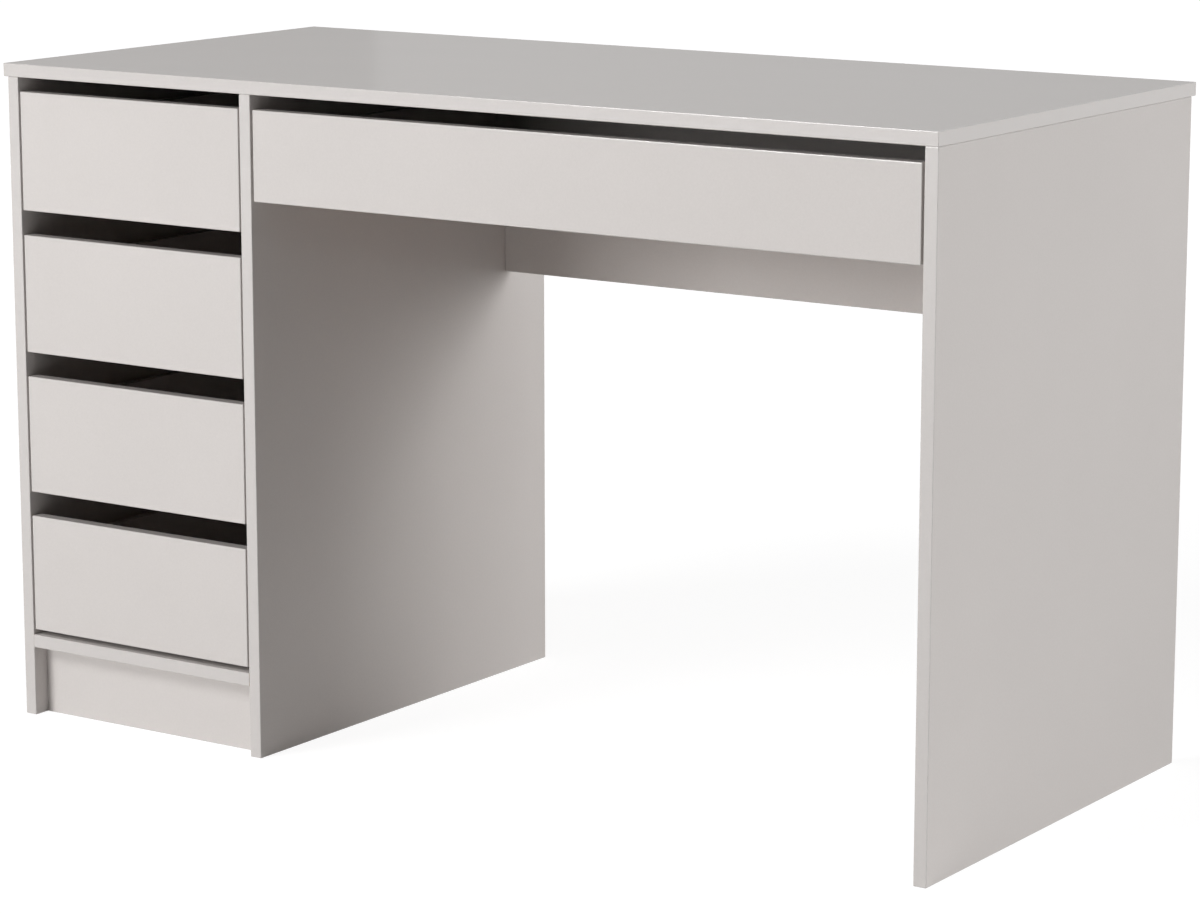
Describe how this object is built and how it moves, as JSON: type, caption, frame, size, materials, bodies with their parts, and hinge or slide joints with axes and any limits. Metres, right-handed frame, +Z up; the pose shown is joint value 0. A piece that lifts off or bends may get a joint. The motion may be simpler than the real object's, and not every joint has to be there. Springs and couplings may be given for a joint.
{
  "type": "writing desk with drawers",
  "caption": "Writing desk with a drawer pedestal on the left, a wide drawer over the knee space, a rear apron, and handle-less drawers on telescopic runners.",
  "frame": {"origin": "on the floor under the middle of the desk top", "axes": "+X to the right as seen from the front, +Y from the front to the back, +Z up"},
  "size_m": [1.2, 0.562, 0.753],
  "materials": {
    "cashmere_melamine": "satin melamine on chipboard, warm light grey, with matching edge bands",
    "coated_hardboard": "thin hardboard, coated warm light grey on its good face",
    "zinc_plated_steel": "bright zinc plating",
    "beech_dowel": "raw fluted beech"
  },
  "bodies": {
    "carcass": {"desk_top": "cashmere_melamine", "left_side_panel": "cashmere_melamine", "divider_panel": "cashmere_melamine", "right_side_panel": "cashmere_melamine", "pedestal_bottom_panel": "cashmere_melamine", "plinth_panel": "cashmere_melamine", "pedestal_back_panel": "coated_hardboard", "rear_apron": "cashmere_melamine", "cam_locks": "zinc_plated_steel", "cam_bolts": "zinc_plated_steel", "dowels": "beech_dowel", "cabinet_rails": "zinc_plated_steel", "cabinet_rail_screws": "zinc_plated_steel", "back_panel_pins": "zinc_plated_steel"},
    "drawer_1": {"drawer_1_front": "cashmere_melamine", "drawer_1_left_side": "cashmere_melamine", "drawer_1_right_side": "cashmere_melamine", "drawer_1_back": "cashmere_melamine", "drawer_1_bottom": "coated_hardboard", "drawer_1_fixings": "zinc_plated_steel", "drawer_1_drawer_rails": "zinc_plated_steel"},
    "drawer_1_middle": {"drawer_1_middle_rails": "zinc_plated_steel", "drawer_1_ball_cages": "zinc_plated_steel"},
    "drawer_2": {"drawer_2_front": "cashmere_melamine", "drawer_2_left_side": "cashmere_melamine", "drawer_2_right_side": "cashmere_melamine", "drawer_2_back": "cashmere_melamine", "drawer_2_bottom": "coated_hardboard", "drawer_2_fixings": "zinc_plated_steel", "drawer_2_drawer_rails": "zinc_plated_steel"},
    "drawer_2_middle": {"drawer_2_middle_rails": "zinc_plated_steel", "drawer_2_ball_cages": "zinc_plated_steel"},
    "drawer_3": {"drawer_3_front": "cashmere_melamine", "drawer_3_left_side": "cashmere_melamine", "drawer_3_right_side": "cashmere_melamine", "drawer_3_back": "cashmere_melamine", "drawer_3_bottom": "coated_hardboard", "drawer_3_fixings": "zinc_plated_steel", "drawer_3_drawer_rails": "zinc_plated_steel"},
    "drawer_3_middle": {"drawer_3_middle_rails": "zinc_plated_steel", "drawer_3_ball_cages": "zinc_plated_steel"},
    "drawer_4": {"drawer_4_front": "cashmere_melamine", "drawer_4_left_side": "cashmere_melamine", "drawer_4_right_side": "cashmere_melamine", "drawer_4_back": "cashmere_melamine", "drawer_4_bottom": "coated_hardboard", "drawer_4_fixings": "zinc_plated_steel", "drawer_4_drawer_rails": "zinc_plated_steel"},
    "drawer_4_middle": {"drawer_4_middle_rails": "zinc_plated_steel", "drawer_4_ball_cages": "zinc_plated_steel"},
    "centre_drawer": {"centre_drawer_front": "cashmere_melamine", "centre_drawer_left_side": "cashmere_melamine", "centre_drawer_right_side": "cashmere_melamine", "centre_drawer_back": "cashmere_melamine", "centre_drawer_bottom": "coated_hardboard", "centre_drawer_fixings": "zinc_plated_steel", "centre_drawer_drawer_rails": "zinc_plated_steel"},
    "centre_drawer_middle": {"centre_drawer_middle_rails": "zinc_plated_steel", "centre_drawer_ball_cages": "zinc_plated_steel"}
  },
  "joints": [
    {"name": "drawer_1_slide", "type": "slide", "parent": "carcass", "child": "drawer_1", "axis": [0, -1, 0], "range_m": [0, 0.4]},
    {"name": "drawer_1_middle_slide", "type": "slide", "parent": "carcass", "child": "drawer_1_middle", "axis": [0, -1, 0], "range_m": [0, 0.2]},
    {"name": "drawer_2_slide", "type": "slide", "parent": "carcass", "child": "drawer_2", "axis": [0, -1, 0], "range_m": [0, 0.4]},
    {"name": "drawer_2_middle_slide", "type": "slide", "parent": "carcass", "child": "drawer_2_middle", "axis": [0, -1, 0], "range_m": [0, 0.2]},
    {"name": "drawer_3_slide", "type": "slide", "parent": "carcass", "child": "drawer_3", "axis": [0, -1, 0], "range_m": [0, 0.4]},
    {"name": "drawer_3_middle_slide", "type": "slide", "parent": "carcass", "child": "drawer_3_middle", "axis": [0, -1, 0], "range_m": [0, 0.2]},
    {"name": "drawer_4_slide", "type": "slide", "parent": "carcass", "child": "drawer_4", "axis": [0, -1, 0], "range_m": [0, 0.4]},
    {"name": "drawer_4_middle_slide", "type": "slide", "parent": "carcass", "child": "drawer_4_middle", "axis": [0, -1, 0], "range_m": [0, 0.2]},
    {"name": "centre_drawer_slide", "type": "slide", "parent": "carcass", "child": "centre_drawer", "axis": [0, -1, 0], "range_m": [0, 0.4]},
    {"name": "centre_drawer_middle_slide", "type": "slide", "parent": "carcass", "child": "centre_drawer_middle", "axis": [0, -1, 0], "range_m": [0, 0.2]}
  ],
  "couplings": [
    {"joint": "drawer_1_middle_slide", "follows": "drawer_1_slide", "ratio": 0.5},
    {"joint": "drawer_2_middle_slide", "follows": "drawer_2_slide", "ratio": 0.5},
    {"joint": "drawer_3_middle_slide", "follows": "drawer_3_slide", "ratio": 0.5},
    {"joint": "drawer_4_middle_slide", "follows": "drawer_4_slide", "ratio": 0.5},
    {"joint": "centre_drawer_middle_slide", "follows": "centre_drawer_slide", "ratio": 0.5}
  ]
}
